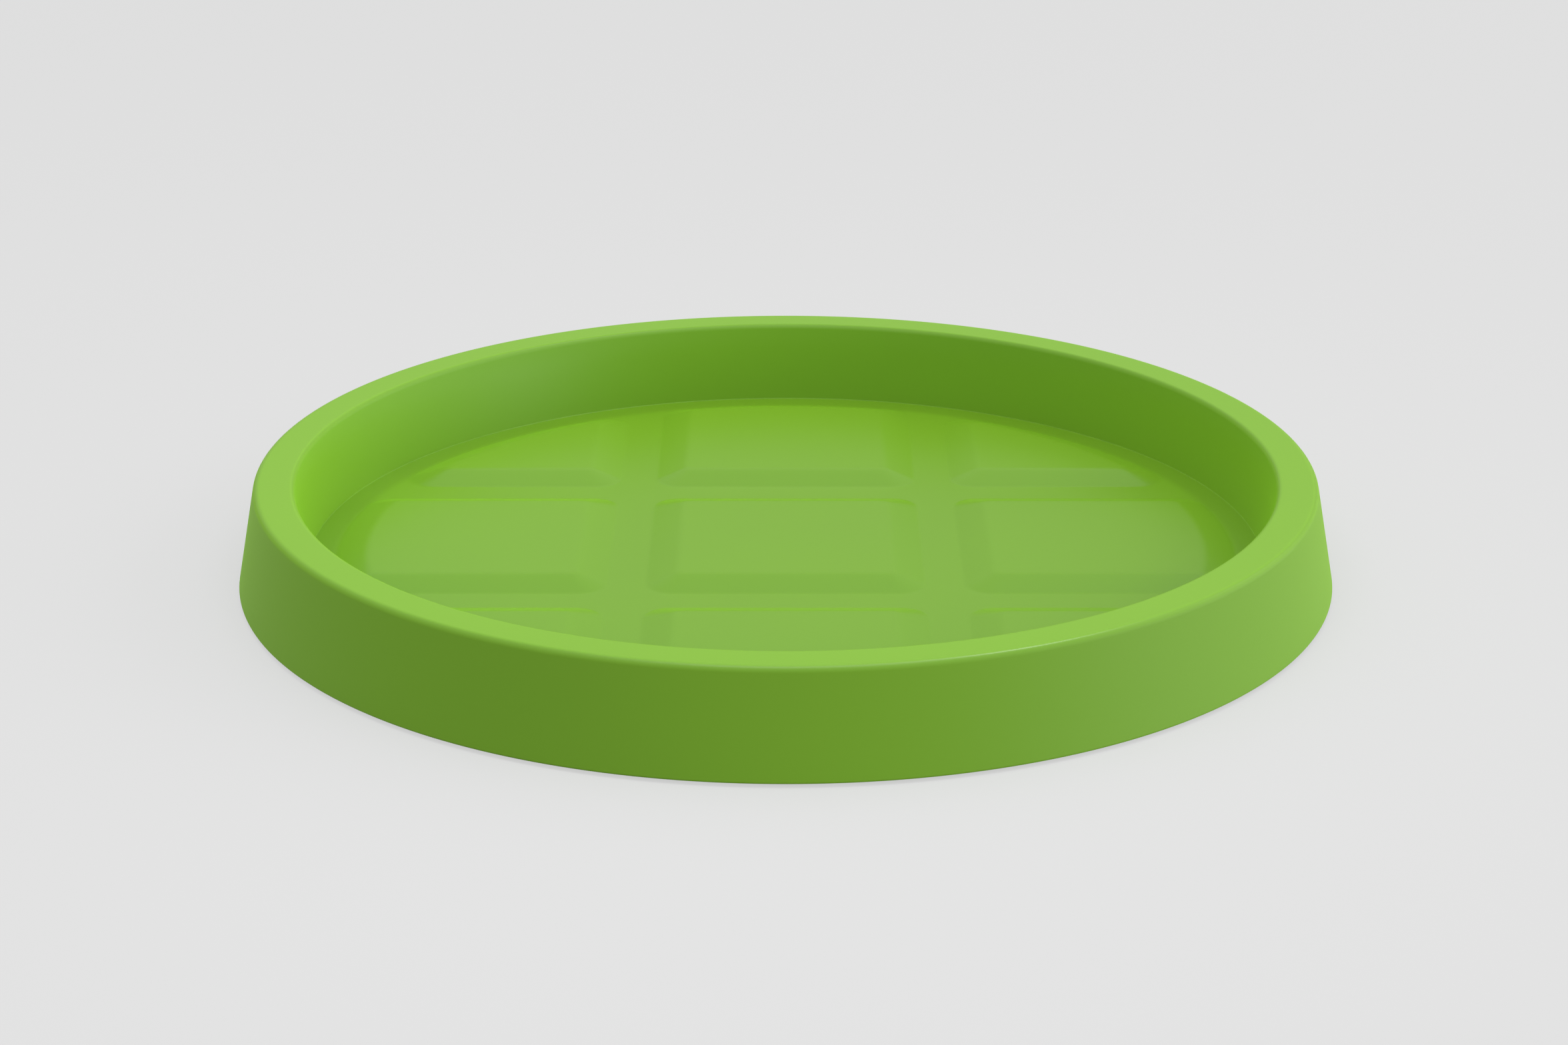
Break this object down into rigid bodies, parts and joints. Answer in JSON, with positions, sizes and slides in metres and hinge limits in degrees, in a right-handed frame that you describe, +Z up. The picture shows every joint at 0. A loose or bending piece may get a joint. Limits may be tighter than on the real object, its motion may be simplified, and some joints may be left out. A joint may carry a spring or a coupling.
{
  "type": "plant saucer",
  "caption": "Round plastic plant saucer: flat hollow rim, leaning skirt and low raised floor pads with water channels between them, closed below by a snap-in panel on non-slip feet.",
  "frame": {"origin": "on the ground under the centre of the saucer, at the soles of the feet", "axes": "+Z up along the saucer's axis; X and Y run along the rows of pads"},
  "size_m": [0.4998, 0.4998, 0.048],
  "materials": {
    "dish_plastic": "satin lime-green moulded plastic",
    "panel_plastic": "plain moulded plastic in the same green, a little duller",
    "foot_rubber": "matt soft rubber"
  },
  "bodies": {
    "root": {"dish_shell": "dish_plastic", "base_panel": "panel_plastic", "foot_1": "foot_rubber", "foot_2": "foot_rubber", "foot_3": "foot_rubber", "foot_4": "foot_rubber", "foot_5": "foot_rubber", "foot_6": "foot_rubber", "foot_7": "foot_rubber", "foot_8": "foot_rubber", "foot_9": "foot_rubber"}
  },
  "joints": []
}
